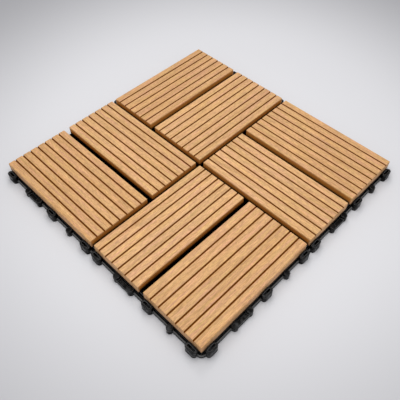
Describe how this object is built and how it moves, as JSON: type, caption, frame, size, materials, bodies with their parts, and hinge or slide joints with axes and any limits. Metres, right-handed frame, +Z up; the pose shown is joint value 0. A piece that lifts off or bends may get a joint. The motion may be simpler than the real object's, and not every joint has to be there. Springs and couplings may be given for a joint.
{
  "type": "interlocking deck tile",
  "caption": "Square deck tile: grooved wood slats in a basket weave on a black moulded grid whose edge loops and tabs hook onto the next tile.",
  "frame": {"origin": "on the ground under the middle of the tile", "axes": "+Z up through the slats' tops; +X and +Y along the tile's sides"},
  "size_m": [0.3132, 0.3132, 0.018],
  "materials": {
    "slat_wood": "satin light brown, fine grain",
    "base_plastic": "matt black moulded",
    "screw_steel": "dull zinc"
  },
  "bodies": {
    "root": {"base_grid": "base_plastic", "slat_front_inner": "slat_wood", "slat_front_outer": "slat_wood", "slat_right_inner": "slat_wood", "slat_right_outer": "slat_wood", "slat_back_inner": "slat_wood", "slat_back_outer": "slat_wood", "slat_left_inner": "slat_wood", "slat_left_outer": "slat_wood", "screws": "screw_steel"}
  },
  "joints": []
}
